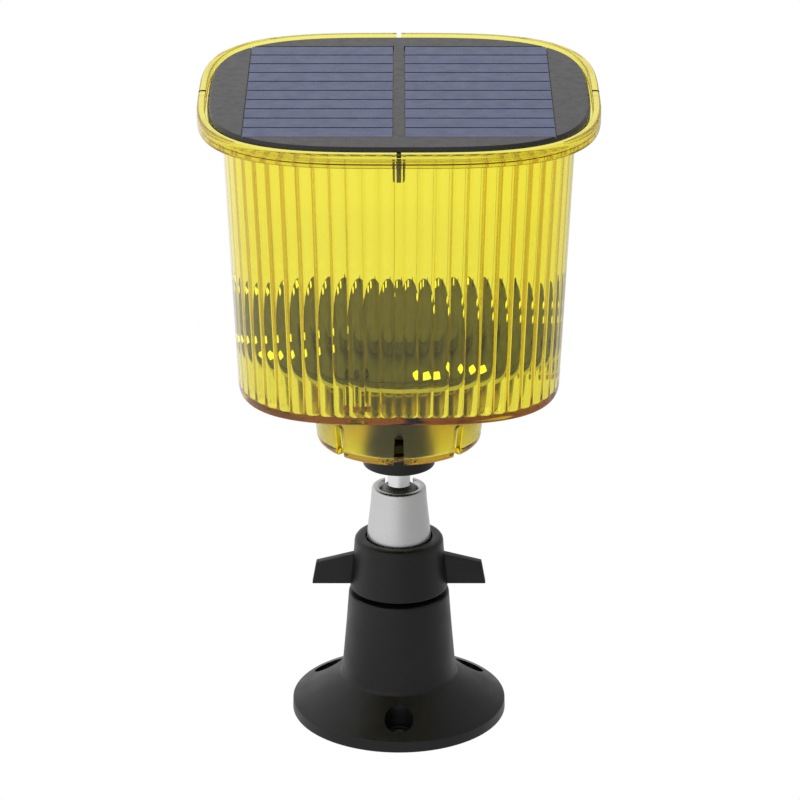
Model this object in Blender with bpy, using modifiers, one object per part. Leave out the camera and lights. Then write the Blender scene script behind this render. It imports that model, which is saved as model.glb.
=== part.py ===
"""Solar barricade warning light on a ball-head bracket.

A yellow fluted lamp body with a solar panel on top stands on a ball stud, which a winged collar clamps
in a silver sleeve above a black column and flange. The frame has +Z up and -Y to the front, and its
origin is the middle of the flange's underside. Sizes below are in millimetres and angles in degrees.
"""

import math

import bmesh
import bpy
import numpy as np
from mathutils import Matrix, Vector

MM = 0.001
GAP = 0.3

# Black bracket base
BASE_RADIUS = 30.5
BASE_RIM = 3.0
COLUMN_TOP = 37.0
COLUMN_TOP_RADIUS = 14.25
COLUMN_FOOT_RADIUS = 16.4
CONE_TOP = 11.2
SPIGOT_TOP = 48.9
SPIGOT_RADIUS = 10.6
PILLAR_BORE = 6.7
CORE_RADIUS = 11.0
CORE_TOP = 31.0
WEB_TOP = 34.0
SCREW_CIRCLE = 23.5
SCREW_ANGLES = (-90.0, 30.0, 150.0)
COUNTERBORE_RADIUS = 4.1
COUNTERBORE_FLOOR = 2.6
SCREW_HOLE_RADIUS = 2.25

# Collar, sleeve and ball
COLLAR_BOTTOM = 38.3
COLLAR_TOP = 53.5
COLLAR_LIP = 51.9
COLLAR_BORE = 11.8
COLLAR_MOUTH = 9.4
WING_THICKNESS = 2.6
RING_BOTTOM = 51.1
RING_TOP = 51.6
BALL_CENTRE = 63.9
BALL_RADIUS = 6.5
SOCKET_RADIUS = 6.8
SOCKET_MOUTH = 5.4
SLEEVE_TOP = 68.8
SLEEVE_BOTTOM = 49.2
SLEEVE_FLANGE_TOP = 50.8
SLEEVE_FLANGE_RADIUS = 11.3
NOTCH_WIDTH = 7.8
NOTCH_FLOOR = 60.4
POST_RADIUS = 3.175
POST_TOP = 95.0
NUT_BOTTOM = 75.9
NUT_TOP = 80.9
NUT_RADIUS = 10.1
WASHER_TOP = 84.1
WASHER_RADIUS = 9.4

# Yellow cup under the lamp body
BOSS_BOTTOM = 84.4
BOSS_TOP = 105.2
BOSS_PLATE = 1.5
BOSS_WALL = 2.0
BOSS_FOOT_RADIUS = 23.0
BOSS_HEAD_RADIUS = 25.4
BOSS_SLOTS = 8
BOSS_SLOT_WIDTH = 2.4
BOSS_SLOT_TOP = 94.1
HUB_RADIUS = 8.5
HUB_TOP = 104.4
POST_BORE = 3.475

# Lamp body: every plan outline is a rounded square of the same exponent
SQUARENESS = 3.3
BODY_BOTTOM = 105.5
BODY_FLOOR = 107.0
BODY_TOP = 181.4
BODY_FOOT_WIDTH = 44.4
BODY_HEAD_WIDTH = 47.9
WALL_AT_RIDGE = 2.8
FLUTE_DEPTH = 0.8
FLUTES_PER_SIDE = 17
MIDDLE_FLUTE = 0.47
FLUTE_STEPS = 2
FLANGE_WIDTH = 54.4
FLANGE_EDGE = 184.4
RECESS_FLOOR = 182.9
RIM_TOP = 185.3
RIM_WIDTH = 53.5
RIM_INNER = 52.3
RIM_SLOT_WIDTH = 1.2
RIM_SLOT_BOTTOM = 183.1

# Inside the lamp body
DECK_RADIUS = 40.2
DECK_BOTTOM = 114.8
DECK_TOP = 116.4
POD_RADIUS = 19.0
POD_TOP = 119.3
TRAY_RADIUS = 19.0
TRAY_TOP = 113.7
SHELL = 1.2
BATTERY_SIDE = 24.0
BATTERY_HEIGHT = 7.6
BOARD_RADIUS = 39.2
BOARD_OFFSET = (1.2, -0.9)
BOARD_HOLE = 19.6
BOARD_BOTTOM = 113.3
BOARD_TOP = 114.5
LED_CIRCLE = 36.0
LED_ANGLES = (-77.3, -57.3)
LED_SIDE = 5.0
LED_TOP = 117.0
DECK_SCREW_CIRCLE = 37.0
DECK_SCREW_ANGLE = -107.7
DECK_SCREW_HEAD = 1.9
POST_FOOT_RADIUS = 3.0
BUTTON_Y = 34.0
BUTTON_RADIUS = 3.2
BUTTON_FLANGE = 4.5
BUTTON_HOLE = 3.5
LEAD_HOLE = (26.0, 26.0)
LEAD_RADIUS = 0.7

# Solar panel
PANEL_WIDTH = 51.6
PANEL_DEPTH = 49.4
PANEL_TOP = 185.45
PANEL_BOTTOM = 184.25
PANEL_CHAMFER = 0.8
CELL_POCKET = 0.7
CELL_TOP = 185.4
CELL_THICKNESS = 0.35
CELL_ROWS = 10
CELL_PITCH = 8.05
CELL_LENGTH = 7.3
CELL_WIDTH = 39.4
CELL_COLUMN_GAP = 3.4
FRAME_BOTTOM = 183.2
FRAME_TOP = 183.95
FRAME_OPENING = 42.5
SKIRT_WIDTH = 44.0
SKIRT_BOTTOM = 181.6
TAB_WIDTH = 1.8
TAB_BOTTOM = 174.4
GROOVE_FLOOR = 182.1
GASKET_OUTER = 49.5
GASKET_INNER = 47.0
GASKET_TOP = 182.9

ROUND_STEPS = 40
SMALL_STEPS = 24

# Finish: colour, roughness, metallic
FINISHES = {
    "black_plastic": ((0.018, 0.018, 0.018), 0.42, 0.0),
    "black_rubber": ((0.012, 0.012, 0.012), 0.75, 0.0),
    "silver": ((0.78, 0.78, 0.78), 0.32, 1.0),
    "steel": ((0.66, 0.66, 0.67), 0.22, 1.0),
    "yellow_lens": ((0.93, 0.76, 0.04), 0.06, 0.0),
    "dark_plastic": ((0.07, 0.07, 0.07), 0.5, 0.0),
    "board_white": ((0.85, 0.85, 0.78), 0.4, 0.0),
    "black_oxide": ((0.03, 0.03, 0.03), 0.4, 0.8),
    "led_white": ((0.93, 0.93, 0.88), 0.3, 0.0),
    "panel_grey": ((0.115, 0.115, 0.115), 0.4, 0.0),
    "cell_blue": ((0.16, 0.19, 0.34), 0.35, 0.0),
    "cell_wrap": ((0.05, 0.16, 0.38), 0.4, 0.0),
    "lead_white": ((0.8, 0.8, 0.78), 0.5, 0.0),
}

for item in list(bpy.data.objects):
    bpy.data.objects.remove(item)
parts = bpy.data.collections.new("barricade_warning_light")
cutters = bpy.data.collections.new("cutters")
bpy.context.scene.collection.children.link(parts)
bpy.context.scene.collection.children.link(cutters)


def add_part(name, mesh, finish, smooth=True):
    """Put a mesh into the scene as a named sub-part with its own material."""
    colour, roughness, metallic = FINISHES[finish]
    material = bpy.data.materials.new(name + "_" + finish)
    material.use_nodes = True
    shader = material.node_tree.nodes["Principled BSDF"]
    shader.inputs["Base Color"].default_value = (*colour, 1.0)
    shader.inputs["Roughness"].default_value = roughness
    shader.inputs["Metallic"].default_value = metallic
    mesh.materials.clear()
    mesh.materials.append(material)
    if smooth:
        mesh.shade_smooth()
        mesh.set_sharp_from_angle(angle=math.radians(35))
    part = bpy.data.objects.new(name, mesh)
    parts.objects.link(part)
    return part


def as_cutter(mesh, name="cutter"):
    """Put a mesh into the scene as a hidden tool for Booleans."""
    tool = bpy.data.objects.new(name, mesh)
    tool.display_type = "WIRE"
    tool.hide_render = True
    cutters.objects.link(tool)
    return tool


def combine(part, mesh, operation="DIFFERENCE"):
    """Cut a mesh out of a part, or join it to the part."""
    boolean = part.modifiers.new(operation.title(), "BOOLEAN")
    boolean.operation = operation
    boolean.solver = "EXACT"
    boolean.object = as_cutter(mesh, part.name + "_tool")
    return part


def finished_mesh(name, source):
    """The evaluated mesh of a helper object, in world space, with its loose caps welded; the helper goes."""
    graph = bpy.context.evaluated_depsgraph_get()
    mesh = bpy.data.meshes.new_from_object(source.evaluated_get(graph))
    mesh.name = name
    mesh.transform(source.matrix_world)
    bpy.data.objects.remove(source)
    work = bmesh.new()
    work.from_mesh(mesh)
    bmesh.ops.remove_doubles(work, verts=work.verts, dist=0.000002)
    bmesh.ops.recalc_face_normals(work, faces=work.faces)
    work.to_mesh(mesh)
    work.free()
    return mesh


def turned(name, profile, steps=ROUND_STEPS, centre=(0.0, 0.0), bored=False):
    """A closed body turned about Z. The profile holds (radius, height) points, outer side top to bottom;
    a bored body's profile goes on up its bore and closes on itself."""
    outline = bpy.data.meshes.new(name + "_profile")
    points = [(radius * MM, 0.0, height * MM) for radius, height in profile]
    count = len(points)
    edges = [(i, i + 1) for i in range(count - 1)]
    if bored:
        edges.append((count - 1, 0))
    outline.from_pydata(points, edges, [])
    helper = bpy.data.objects.new(name + "_turn", outline)
    helper.location = (centre[0] * MM, centre[1] * MM, 0.0)
    bpy.context.scene.collection.objects.link(helper)
    screw = helper.modifiers.new("Screw", "SCREW")
    screw.axis = "Z"
    screw.steps = steps
    screw.render_steps = steps
    screw.use_merge_vertices = True
    screw.merge_threshold = 0.000005
    bpy.context.view_layer.update()
    return finished_mesh(name, helper)


def arc(radius, height, size, start, end, steps=6):
    """Points of an arc about (radius, height), angles in degrees from outwards towards up."""
    angles = np.radians(np.linspace(start, end, steps + 1))
    return [(radius + size * math.cos(a), height + size * math.sin(a)) for a in angles]


def walk_square(half_width, stops):
    """Points of |x|^n + |y|^n = w^n at shares of its length, from the middle of the front side."""
    angle = np.linspace(-0.5 * math.pi, 1.5 * math.pi, 2881)
    cosine = np.cos(angle)
    sine = np.sin(angle)
    reach = (abs(cosine) ** SQUARENESS + abs(sine) ** SQUARENESS) ** (-1.0 / SQUARENESS)
    x = half_width * reach * cosine
    y = half_width * reach * sine
    run = np.concatenate([[0.0], np.cumsum(np.hypot(np.diff(x), np.diff(y)))])
    return np.column_stack([np.interp(stops * run[-1], run, x), np.interp(stops * run[-1], run, y)])


def rounded_square(half_width, count):
    """Points spaced evenly round a rounded square."""
    return walk_square(half_width, np.linspace(0.0, 1.0, count + 1)[:-1])


def flute_stops():
    """Shares of the length at the flutes' points: a narrow flute mid-side, then equal ones to the next."""
    full = 1.0 / (FLUTES_PER_SIDE + MIDDLE_FLUTE)
    widths = [0.5 * MIDDLE_FLUTE * full] + [full] * FLUTES_PER_SIDE + [0.5 * MIDDLE_FLUTE * full]
    ridges = np.cumsum(widths)[:-1]
    edges = np.concatenate([0.25 * (ridges + side) for side in range(4)])
    following = np.append(edges[1:], edges[0] + 1.0)
    shares = np.arange(FLUTE_STEPS) / FLUTE_STEPS
    return (edges[:, None] + (following - edges)[:, None] * shares).ravel() % 1.0


def fluted_square(half_width, depth):
    """A rounded square whose line bulges outwards between ridges, once for each flute."""
    ridge = walk_square(half_width, flute_stops())
    ahead = np.roll(ridge, -1, axis=0) - np.roll(ridge, 1, axis=0)
    normal = np.column_stack([ahead[:, 1], -ahead[:, 0]])
    normal /= np.linalg.norm(normal, axis=1)[:, None]
    across = (np.arange(len(ridge)) % FLUTE_STEPS) / FLUTE_STEPS
    bulge = depth * (1.0 - (2.0 * across - 1.0) ** 2)
    narrow = np.arange(len(ridge)) // FLUTE_STEPS % (FLUTES_PER_SIDE + 1) == FLUTES_PER_SIDE
    bulge[narrow] *= MIDDLE_FLUTE**2
    return ridge + normal * bulge[:, None]


def circle(radius, count, centre=(0.0, 0.0)):
    """Points round a circle."""
    angles = np.linspace(0.0, 2.0 * math.pi, count + 1)[:-1]
    return np.column_stack([centre[0] + radius * np.cos(angles), centre[1] + radius * np.sin(angles)])


def plate(name, outlines, low, high, bottom_scale=1.0):
    """A flat outline, with any holes, between two heights; its foot may be smaller than its head."""
    curve = bpy.data.curves.new(name + "_outline", "CURVE")
    curve.dimensions = "2D"
    curve.fill_mode = "BOTH"
    curve.extrude = 0.5 * (high - low) * MM
    for outline in outlines:
        spline = curve.splines.new("POLY")
        spline.points.add(len(outline) - 1)
        for point, (x, y) in zip(spline.points, outline):
            point.co = (x * MM, y * MM, 0.0, 1.0)
        spline.use_cyclic_u = True
    helper = bpy.data.objects.new(name + "_plate", curve)
    helper.location = (0.0, 0.0, 0.5 * (low + high) * MM)
    bpy.context.scene.collection.objects.link(helper)
    bpy.context.view_layer.update()
    mesh = finished_mesh(name, helper)
    for vertex in mesh.vertices:
        share = (high - vertex.co.z / MM) / (high - low)
        scale = 1.0 + (bottom_scale - 1.0) * share
        vertex.co.x *= scale
        vertex.co.y *= scale
    return mesh


def block(name, size, centre, turn=0.0, bevel=0.0):
    """A box by its size and middle, turned about its own Z, with rounded edges if asked."""
    work = bmesh.new()
    bmesh.ops.create_cube(work, size=1.0)
    bmesh.ops.scale(work, vec=Vector(size) * MM, verts=work.verts)
    if bevel:
        bmesh.ops.bevel(work, geom=work.edges, offset=bevel * MM, segments=2, profile=0.5, affect="EDGES")
    bmesh.ops.rotate(work, matrix=Matrix.Rotation(math.radians(turn), 3, "Z"), verts=work.verts)
    bmesh.ops.translate(work, vec=Vector(centre) * MM, verts=work.verts)
    mesh = bpy.data.meshes.new(name)
    work.to_mesh(mesh)
    work.free()
    return mesh


def rod(name, radius, low, high, centre=(0.0, 0.0), steps=SMALL_STEPS):
    """An upright cylinder."""
    work = bmesh.new()
    bmesh.ops.create_cone(
        work, cap_ends=True, segments=steps, radius1=radius * MM, radius2=radius * MM, depth=(high - low) * MM
    )
    middle = Vector((centre[0], centre[1], 0.5 * (low + high))) * MM
    bmesh.ops.translate(work, vec=middle, verts=work.verts)
    mesh = bpy.data.meshes.new(name)
    work.to_mesh(mesh)
    work.free()
    return mesh


def around(circle_radius, angle):
    """A point on a circle about the Z axis."""
    turn = math.radians(angle)
    return (circle_radius * math.cos(turn), circle_radius * math.sin(turn))


def set_origin(part, place):
    """Put a moving part's origin on its joint's axis and leave its shape where it is."""
    offset = Vector(place) * MM
    part.data.transform(Matrix.Translation(-offset))
    part.location = offset
    return part


def make_base():
    """Flange, cone, column and spigot in one, hollow from below, with three counterbored holes."""
    profile = [
        (SPIGOT_RADIUS - 0.6, SPIGOT_TOP),
        (SPIGOT_RADIUS, SPIGOT_TOP - 0.6),
        (SPIGOT_RADIUS, COLUMN_TOP),
        (COLUMN_TOP_RADIUS - 0.4, COLUMN_TOP),
        (COLUMN_TOP_RADIUS, COLUMN_TOP - 1.2),
        (14.95, 27.0),
        (COLUMN_FOOT_RADIUS - 0.5, 16.0),
        (COLUMN_FOOT_RADIUS - 0.05, CONE_TOP + 0.9),
        (COLUMN_FOOT_RADIUS + 0.2, CONE_TOP + 0.15),
        (COLUMN_FOOT_RADIUS + 0.75, CONE_TOP - 0.43),
        (BASE_RADIUS - 0.3, BASE_RIM + 0.3),
        (BASE_RADIUS, BASE_RIM),
        (BASE_RADIUS, 0.3),
        (BASE_RADIUS - 0.3, 0.0),
        (CORE_RADIUS, 0.0),
        (CORE_RADIUS - 0.4, CORE_TOP),
        (2.7, CORE_TOP),
        (2.7, WEB_TOP),
        (PILLAR_BORE, WEB_TOP),
        (PILLAR_BORE, SPIGOT_TOP),
    ]
    base = add_part("mounting_base", turned("mounting_base", profile, bored=True), "black_plastic")
    for angle in SCREW_ANGLES:
        centre = around(SCREW_CIRCLE, angle)
        hole = [
            (COUNTERBORE_RADIUS, 15.0),
            (COUNTERBORE_RADIUS, COUNTERBORE_FLOOR),
            (SCREW_HOLE_RADIUS, COUNTERBORE_FLOOR),
            (SCREW_HOLE_RADIUS, -1.0),
        ]
        closed = [(0.0, 15.0)] + hole + [(0.0, -1.0)]
        combine(base, turned("screw_hole", closed, steps=24, centre=centre))
    return base


def make_pillar():
    """Post in the spigot whose cup carries the ball."""
    cup_edge = 60.2
    drop = math.degrees(math.asin((BALL_CENTRE - cup_edge) / SOCKET_RADIUS))
    cup = arc(0.0, BALL_CENTRE, SOCKET_RADIUS, -90.0, -drop, steps=8)
    cup_radius = cup[-1][0]
    profile = [
        (cup_radius, cup_edge),
        (PILLAR_BORE - GAP, cup_edge - 0.4),
        (PILLAR_BORE - GAP, WEB_TOP + GAP),
        (2.7, WEB_TOP + GAP),
        (2.7, 46.5),
        (0.0, 46.5),
    ]
    profile = cup[:-1] + profile
    return add_part("clamp_pillar", turned("clamp_pillar", profile, steps=SMALL_STEPS), "steel")


def make_pillar_screw():
    """Pan-head screw that holds the pillar from under the base."""
    head_low = CORE_TOP - GAP - 3.2
    profile = [
        (0.0, 45.5),
        (1.8, 45.5),
        (2.4, 44.9),
        (2.4, CORE_TOP - GAP),
        (4.6, CORE_TOP - GAP),
        (4.6, head_low + 0.8),
        (3.8, head_low),
        (0.0, head_low),
    ]
    screw = add_part("pillar_screw", turned("pillar_screw", profile, steps=24), "steel")
    for turn in (0.0, 90.0):
        combine(screw, block("drive", (4.8, 1.0, 2.8), (0.0, 0.0, head_low), turn))
    return screw


def make_friction_ring():
    """Slip ring between the collar's lip and the sleeve's flange."""
    profile = [
        (COLLAR_BORE - 0.4, RING_TOP),
        (COLLAR_BORE - 0.4, RING_BOTTOM),
        (COLLAR_MOUTH, RING_BOTTOM),
        (COLLAR_MOUTH, RING_TOP),
    ]
    return add_part("friction_ring", turned("friction_ring", profile, steps=SMALL_STEPS, bored=True), "lead_white")


def make_collar():
    """Threaded collar with two wings, which turn it by hand."""
    profile = arc(10.5, COLLAR_TOP - 2.0, 2.0, 90.0, 0.0, steps=5)
    profile += [
        (12.75, 49.5),
        (13.9, COLLAR_BOTTOM + 0.4),
        (13.6, COLLAR_BOTTOM),
        (COLLAR_BORE, COLLAR_BOTTOM),
        (COLLAR_BORE, COLLAR_LIP),
        (COLLAR_MOUTH, COLLAR_LIP),
        (COLLAR_MOUTH, COLLAR_TOP),
    ]
    collar = add_part("wing_collar", turned("wing_collar", profile, bored=True), "black_plastic")
    inner = COLLAR_BORE + 0.7
    wing = [(inner, 39.0), (24.35, 39.0), (24.65, 39.35), (23.5, 45.1), (23.1, 45.5), (inner, 48.3)]
    for side in (1.0, -1.0):
        outline = [(side * x, z) for x, z in wing]
        mesh = plate("wing", [outline], -0.5 * WING_THICKNESS, 0.5 * WING_THICKNESS)
        mesh.transform(Matrix.Rotation(math.radians(90.0), 4, "X"))
        combine(collar, mesh, "UNION")
    return collar


def make_sleeve():
    """Silver cone that holds the ball down, with a drop notch at the back for the post."""
    mouth_angle = math.degrees(math.acos(SOCKET_MOUTH / SOCKET_RADIUS))
    profile = [(SOCKET_MOUTH + 0.5, SLEEVE_TOP)]
    profile += arc(6.25, SLEEVE_TOP - 1.35, 1.35, 90.0, 6.0, steps=5)
    profile += [
        (7.95, 64.3),
        (9.1, 53.5),
        (9.15, SLEEVE_FLANGE_TOP),
        (SLEEVE_FLANGE_RADIUS, SLEEVE_FLANGE_TOP),
        (SLEEVE_FLANGE_RADIUS, SLEEVE_BOTTOM),
        (SOCKET_RADIUS, SLEEVE_BOTTOM),
    ]
    profile += arc(0.0, BALL_CENTRE, SOCKET_RADIUS, 0.0, mouth_angle, steps=6)
    sleeve = add_part("socket_sleeve", turned("socket_sleeve", profile, bored=True), "silver")
    half = 0.5 * NOTCH_WIDTH
    floor = NOTCH_FLOOR + half
    round_end = [(half * math.cos(a), floor + half * math.sin(a)) for a in np.linspace(-math.pi, 0.0, 13)]
    outline = round_end + [(half, SLEEVE_TOP + 2.0), (-half, SLEEVE_TOP + 2.0)]
    notch = plate("notch", [outline], -12.0, -2.0)
    notch.transform(Matrix.Rotation(math.radians(90.0), 4, "X"))
    return combine(sleeve, notch)


def make_ball_stud():
    """Ball and quarter-inch post, turned in one."""
    meet = math.degrees(math.acos(POST_RADIUS / BALL_RADIUS))
    profile = [
        (0.0, POST_TOP),
        (POST_RADIUS - 0.5, POST_TOP),
        (POST_RADIUS, POST_TOP - 0.5),
    ]
    profile += arc(0.0, BALL_CENTRE, BALL_RADIUS, meet, -84.0, steps=10)
    profile += [(0.0, BALL_CENTRE - BALL_RADIUS * math.sin(math.radians(84.0)))]
    stud = add_part("ball_stud", turned("ball_stud", profile, steps=24), "steel")
    return set_origin(stud, (0.0, 0.0, BALL_CENTRE))


def make_lock_nut():
    """Black round nut that locks the lamp on the post."""
    profile = [
        (NUT_RADIUS - 0.5, NUT_TOP),
        (NUT_RADIUS, NUT_TOP - 0.5),
        (NUT_RADIUS, NUT_BOTTOM + 0.3),
        (NUT_RADIUS - 0.3, NUT_BOTTOM),
        (POST_BORE, NUT_BOTTOM),
        (POST_BORE, NUT_TOP),
    ]
    return add_part("lock_nut", turned("lock_nut", profile, bored=True), "black_plastic")


def make_rubber_washer():
    """Soft washer between the lock nut and the yellow cup."""
    low = NUT_TOP + GAP
    profile = [
        (WASHER_RADIUS - 0.3, WASHER_TOP),
        (WASHER_RADIUS, WASHER_TOP - 0.3),
        (WASHER_RADIUS, low + 0.3),
        (WASHER_RADIUS - 0.3, low),
        (POST_BORE, low),
        (POST_BORE, WASHER_TOP),
    ]
    return add_part("rubber_washer", turned("rubber_washer", profile, steps=SMALL_STEPS, bored=True), "black_rubber")


def make_boss():
    """Yellow conical cup under the lamp body, with a floor and eight slots open at the foot."""
    profile = [
        (BOSS_HEAD_RADIUS, BOSS_TOP),
        (24.0, 94.0),
        (BOSS_FOOT_RADIUS, BOSS_BOTTOM + BOSS_PLATE),
        (BOSS_FOOT_RADIUS - 0.4, BOSS_BOTTOM + 0.5),
        (BOSS_FOOT_RADIUS - 1.1, BOSS_BOTTOM),
        (POST_BORE, BOSS_BOTTOM),
        (POST_BORE, BOSS_BOTTOM + BOSS_PLATE),
        (BOSS_FOOT_RADIUS - BOSS_WALL, BOSS_BOTTOM + BOSS_PLATE),
        (BOSS_HEAD_RADIUS - BOSS_WALL, BOSS_TOP),
    ]
    boss = add_part("mount_boss", turned("mount_boss", profile, steps=48, bored=True), "yellow_lens")
    half = 0.5 * BOSS_SLOT_WIDTH
    top = BOSS_SLOT_TOP - half
    arch = [(half * math.cos(a), top + half * math.sin(a)) for a in np.linspace(0.0, math.pi, 9)]
    outline = arch + [(-half, BOSS_BOTTOM - 1.0), (half, BOSS_BOTTOM - 1.0)]
    reach = BOSS_FOOT_RADIUS - 2.6
    for index in range(BOSS_SLOTS):
        slot = plate("boss_slot", [outline], reach, BOSS_HEAD_RADIUS + 3.0)
        slot.transform(Matrix.Rotation(math.radians(90.0), 4, "X"))
        slot.transform(Matrix.Rotation(math.radians(index * 360.0 / BOSS_SLOTS), 4, "Z"))
        combine(boss, slot)
    return boss


def make_hub():
    """Dark threaded hub that the post screws into."""
    low = BOSS_BOTTOM + BOSS_PLATE + GAP
    profile = [
        (0.0, HUB_TOP),
        (HUB_RADIUS - 0.4, HUB_TOP),
        (HUB_RADIUS, HUB_TOP - 0.4),
        (HUB_RADIUS, low),
        (POST_BORE, low),
        (POST_BORE, POST_TOP + GAP),
        (0.0, POST_TOP + GAP),
    ]
    return add_part("stud_hub", turned("stud_hub", profile, steps=SMALL_STEPS), "black_plastic")


def deck_screw_places():
    """The four screw centres round the deck."""
    return [around(DECK_SCREW_CIRCLE, DECK_SCREW_ANGLE + 90.0 * index) for index in range(4)]


def led_places():
    """(centre, turn) of the eight LEDs, in four pairs."""
    turns = [angle + 90.0 * index for index in range(4) for angle in LED_ANGLES]
    return [(around(LED_CIRCLE, turn), turn) for turn in turns]


def make_lens():
    """Fluted yellow body with flange, gasket groove, rim, four rim slots, floor and screw posts."""
    foot = BODY_FOOT_WIDTH / BODY_HEAD_WIDTH
    outline = rounded_square(BODY_HEAD_WIDTH, 96)
    lens = add_part("lens_housing", plate("lens_housing", [outline], BODY_BOTTOM, BODY_TOP + 0.4, foot), "yellow_lens")
    flange = rounded_square(FLANGE_WIDTH - 0.15, 96)
    combine(lens, plate("flange", [flange], BODY_TOP, FLANGE_EDGE + 0.1), "UNION")
    rim = rounded_square(RIM_WIDTH, 96)
    combine(lens, plate("rim", [rim], FLANGE_EDGE, RIM_TOP, FLANGE_WIDTH / RIM_WIDTH), "UNION")
    mouth = fluted_square(BODY_HEAD_WIDTH - WALL_AT_RIDGE, FLUTE_DEPTH)
    mouth_foot = (BODY_FOOT_WIDTH - WALL_AT_RIDGE) / (BODY_HEAD_WIDTH - WALL_AT_RIDGE)
    combine(lens, plate("mouth", [mouth], BODY_FLOOR, RECESS_FLOOR + 0.2, mouth_foot))
    combine(lens, plate("recess", [rounded_square(RIM_INNER, 96)], RECESS_FLOOR, RIM_TOP + 2.0))
    groove = [rounded_square(GASKET_OUTER + GAP, 64), rounded_square(GASKET_INNER - GAP, 64)]
    combine(lens, plate("groove", groove, GROOVE_FLOOR, RECESS_FLOOR + 0.5))
    for turn in (0.0, 90.0):
        size = (RIM_SLOT_WIDTH, 2.0 * FLANGE_WIDTH + 4.0, 5.0)
        combine(lens, block("rim_slot", size, (0.0, 0.0, RIM_SLOT_BOTTOM + 2.5), turn))
    for place in deck_screw_places():
        combine(lens, rod("post", POST_FOOT_RADIUS, BODY_FLOOR - 0.8, DECK_BOTTOM - GAP, place, 16), "UNION")
        combine(lens, rod("pilot", 1.4, BODY_FLOOR + 1.2, DECK_BOTTOM + 1.0, place, 12))
    combine(lens, rod("button_hole", BUTTON_HOLE, BODY_BOTTOM - 1.0, BODY_FLOOR + 1.0, (0.0, BUTTON_Y), 24))
    return lens


def make_deck():
    """Dark disc with a raised round pod, LED windows, screw holes and a hole for the panel's lead."""
    deck = add_part("led_deck", rod("led_deck", DECK_RADIUS, DECK_BOTTOM, DECK_TOP, steps=64), "dark_plastic")
    dome = [(0.0, POD_TOP)] + arc(POD_RADIUS - 1.0, POD_TOP - 1.0, 1.0, 90.0, 0.0, steps=4)
    dome += [(POD_RADIUS, DECK_BOTTOM + 0.5), (0.0, DECK_BOTTOM + 0.5)]
    combine(deck, turned("pod", dome), "UNION")
    combine(deck, rod("pod_hollow", POD_RADIUS - SHELL, DECK_BOTTOM - 1.0, POD_TOP - SHELL, steps=ROUND_STEPS))
    for centre, turn in led_places():
        side = LED_SIDE + 2.0 * GAP
        combine(deck, block("window", (side, side, 6.0), (*centre, DECK_TOP), turn))
    for place in deck_screw_places():
        combine(deck, rod("screw_hole", 1.5, DECK_BOTTOM - 1.0, DECK_TOP + 1.0, place, 16))
    combine(deck, rod("lead_hole", LEAD_RADIUS + GAP + 0.2, DECK_BOTTOM - 1.0, DECK_TOP + 1.0, LEAD_HOLE, 16))
    return deck


def make_tray():
    """Round cup under the pod that holds the battery."""
    low = BODY_FLOOR + GAP
    profile = [
        (0.0, low + SHELL),
        (TRAY_RADIUS - SHELL, low + SHELL),
        (TRAY_RADIUS - SHELL, TRAY_TOP),
        (TRAY_RADIUS, TRAY_TOP),
        (TRAY_RADIUS, low + 0.5),
        (TRAY_RADIUS - 0.5, low),
        (0.0, low),
    ]
    return add_part("battery_tray", turned("battery_tray", profile), "dark_plastic")


def make_battery():
    """Flat rechargeable cell in the tray and pod."""
    low = BODY_FLOOR + GAP + SHELL + GAP
    size = (BATTERY_SIDE, BATTERY_SIDE, BATTERY_HEIGHT)
    mesh = block("battery_cell", size, (0.0, 0.0, low + 0.5 * BATTERY_HEIGHT), 0.0, 1.2)
    return add_part("battery_cell", mesh, "cell_wrap")


def make_board():
    """White circuit board round the tray, whose rim shows past the deck at the front right."""
    outline = [circle(BOARD_RADIUS, 64, BOARD_OFFSET), circle(BOARD_HOLE, ROUND_STEPS)]
    board = add_part("led_board", plate("led_board", outline, BOARD_BOTTOM, BOARD_TOP), "board_white", False)
    for place in deck_screw_places():
        combine(board, rod("post_notch", POST_FOOT_RADIUS + GAP, BOARD_BOTTOM - 1.0, BOARD_TOP + 1.0, place, 16))
    return board


def make_leds():
    """Eight square LEDs that stand up through the deck's windows."""
    low = BOARD_TOP + GAP
    for number, (centre, turn) in enumerate(led_places(), start=1):
        name = "led_%d" % number
        size = (LED_SIDE, LED_SIDE, LED_TOP - low)
        mesh = block(name, size, (*centre, 0.5 * (low + LED_TOP)), turn, 0.35)
        add_part(name, mesh, "led_white")


def make_deck_screws():
    """Four self-tapping screws that hold the deck on the lens housing's posts."""
    low = DECK_TOP + GAP
    profile = [
        (0.0, low + 1.5),
        (0.9, low + 1.5),
        (DECK_SCREW_HEAD - 0.4, low + 1.1),
        (DECK_SCREW_HEAD, low + 0.4),
        (DECK_SCREW_HEAD, low),
        (1.1, low),
        (1.1, BODY_FLOOR + 2.4),
        (0.5, BODY_FLOOR + 1.6),
        (0.0, BODY_FLOOR + 1.6),
    ]
    for number, place in enumerate(deck_screw_places(), start=1):
        name = "deck_screw_%d" % number
        screw = add_part(name, turned(name, profile, steps=16, centre=place), "black_oxide")
        for turn in (0.0, 90.0):
            combine(screw, block("drive", (2.0, 0.5, 1.6), (*place, low + 1.5), turn))


def make_driver():
    """Charge and flash driver chip under the board."""
    mesh = block("driver_chip", (5.0, 6.2, 1.6), (-27.0, 8.0, BOARD_BOTTOM - GAP - 0.8), 0.0, 0.2)
    return add_part("driver_chip", mesh, "black_plastic")


def make_switch():
    """Push switch under the board, over the button."""
    mesh = block("button_switch", (6.2, 6.2, 2.5), (0.0, BUTTON_Y, BOARD_BOTTOM - GAP - 1.25), 0.0, 0.2)
    return add_part("button_switch", mesh, "black_plastic")


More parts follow.
